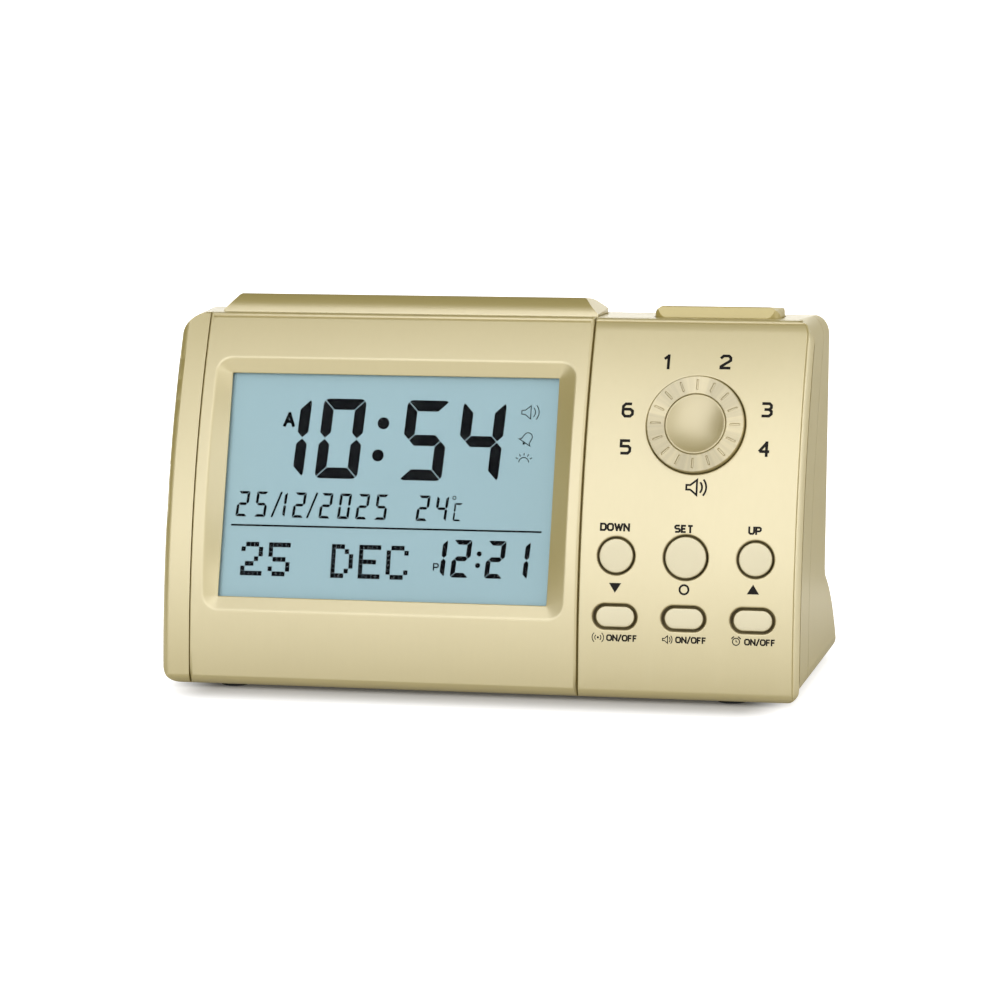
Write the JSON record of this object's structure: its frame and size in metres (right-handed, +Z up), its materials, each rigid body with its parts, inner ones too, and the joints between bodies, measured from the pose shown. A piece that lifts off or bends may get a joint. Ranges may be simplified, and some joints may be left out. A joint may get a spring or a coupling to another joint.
{
  "type": "azan clock",
  "caption": "Desk prayer-time clock with a leaning curved face, display, turning dial, push keys, top snooze bar, light button and battery door.",
  "frame": {"origin": "on the surface the clock stands on, under the middle of its width and depth", "axes": "+X to the right seen from the front, +Y towards the back, +Z up"},
  "size_m": [0.168, 0.0612, 0.0985],
  "materials": {
    "gold_case": "satin champagne-gold paint on moulded plastic",
    "gold_panel": "satin champagne-gold paint with a fine brushed grain",
    "gold_dial": "turned and anodised in champagne gold",
    "gold_keys": "satin pale champagne",
    "clear_lens": "clear, glossy",
    "display_face": "pale blue-grey liquid crystal with dark segments",
    "light_guide": "frosted clear acrylic",
    "dark_plastic": "moulded, matt",
    "board": "green solder mask",
    "chip": "moulded black epoxy",
    "key_rubber": "grey silicone rubber",
    "contact_strip": "pink silicone rubber",
    "foot_rubber": "black rubber",
    "steel": "nickel-plated",
    "spring_steel": "nickel-plated wire",
    "brass": "bare",
    "can": "drawn can",
    "cell_jacket": "printed film, no words",
    "magnet": "dark, matt",
    "cone_paper": "pressed black paper"
  },
  "bodies": {
    "case": {"front_housing": "gold_case", "rear_housing": "gold_case", "display_panel": "gold_panel", "control_panel": "gold_panel", "display_lens": "clear_lens", "display_glass": "display_face", "light_guide": "light_guide", "display_holder": "dark_plastic", "connector_strips": "contact_strip", "main_board": "board", "board_chips": "chip", "quartz_crystal": "can", "board_capacitors": "can", "temperature_sensor": "chip", "rotary_switch": "steel", "dial_nut": "brass", "dial_board": "board", "rubber_keypad": "key_rubber", "key_board": "board", "top_board": "board", "snooze_switch_1": "chip", "snooze_switch_2": "chip", "light_switch": "chip", "snooze_springs": "spring_steel", "light_springs": "spring_steel", "battery_cell_1": "cell_jacket", "battery_cell_2": "cell_jacket", "battery_cell_3": "cell_jacket", "battery_contacts": "steel", "battery_springs": "spring_steel", "speaker_basket": "steel", "speaker_magnet": "magnet", "speaker_cone": "cone_paper", "speaker_clips": "steel", "speaker_screws": "steel", "rubber_feet": "foot_rubber", "case_screws": "steel", "board_screws": "steel"},
    "dial": {"dial_knob": "gold_dial", "dial_cap": "gold_dial", "switch_shaft": "brass"},
    "down_key": {"down_button": "gold_keys"},
    "set_key": {"set_button": "gold_keys"},
    "up_key": {"up_button": "gold_keys"},
    "left_key": {"left_oval_button": "gold_keys"},
    "middle_key": {"middle_oval_button": "gold_keys"},
    "right_key": {"right_oval_button": "gold_keys"},
    "snooze_control": {"snooze_bar": "gold_case"},
    "light_control": {"light_button": "gold_case"},
    "door": {"battery_door": "gold_case"}
  },
  "joints": [
    {"name": "dial_turn", "type": "hinge", "parent": "case", "child": "dial", "pos_m": [0.0555, -0.01413, 0.0694], "axis": [0, -0.9179, 0.3969], "range_deg": [-135, 90]},
    {"name": "down_press", "type": "slide", "parent": "case", "child": "down_key", "axis": [0, 0.9783, -0.2072], "range_m": [0, 0.0008], "stiffness_N_per_m": 800, "springref_m": -0.0003},
    {"name": "set_press", "type": "slide", "parent": "case", "child": "set_key", "axis": [0, 0.9783, -0.2072], "range_m": [0, 0.0008], "stiffness_N_per_m": 800, "springref_m": -0.0003},
    {"name": "up_press", "type": "slide", "parent": "case", "child": "up_key", "axis": [0, 0.9783, -0.2072], "range_m": [0, 0.0008], "stiffness_N_per_m": 800, "springref_m": -0.0003},
    {"name": "left_press", "type": "slide", "parent": "case", "child": "left_key", "axis": [0, 0.9783, -0.2072], "range_m": [0, 0.0008], "stiffness_N_per_m": 800, "springref_m": -0.0003},
    {"name": "middle_press", "type": "slide", "parent": "case", "child": "middle_key", "axis": [0, 0.9783, -0.2072], "range_m": [0, 0.0008], "stiffness_N_per_m": 800, "springref_m": -0.0003},
    {"name": "right_press", "type": "slide", "parent": "case", "child": "right_key", "axis": [0, 0.9783, -0.2072], "range_m": [0, 0.0008], "stiffness_N_per_m": 800, "springref_m": -0.0003},
    {"name": "snooze_press", "type": "slide", "parent": "case", "child": "snooze_control", "axis": [0, 0, -1], "range_m": [0, 0.0013], "stiffness_N_per_m": 1200, "springref_m": -0.0003, "deforming": ["snooze_springs"]},
    {"name": "light_press", "type": "slide", "parent": "case", "child": "light_control", "axis": [0, 0, -1], "range_m": [0, 0.0013], "stiffness_N_per_m": 900, "springref_m": -0.0003, "deforming": ["light_springs"]},
    {"name": "door_open", "type": "hinge", "parent": "case", "child": "door", "pos_m": [0, -0.0086, 0.0024], "axis": [-1, 0, 0], "range_deg": [0, 85]}
  ]
}
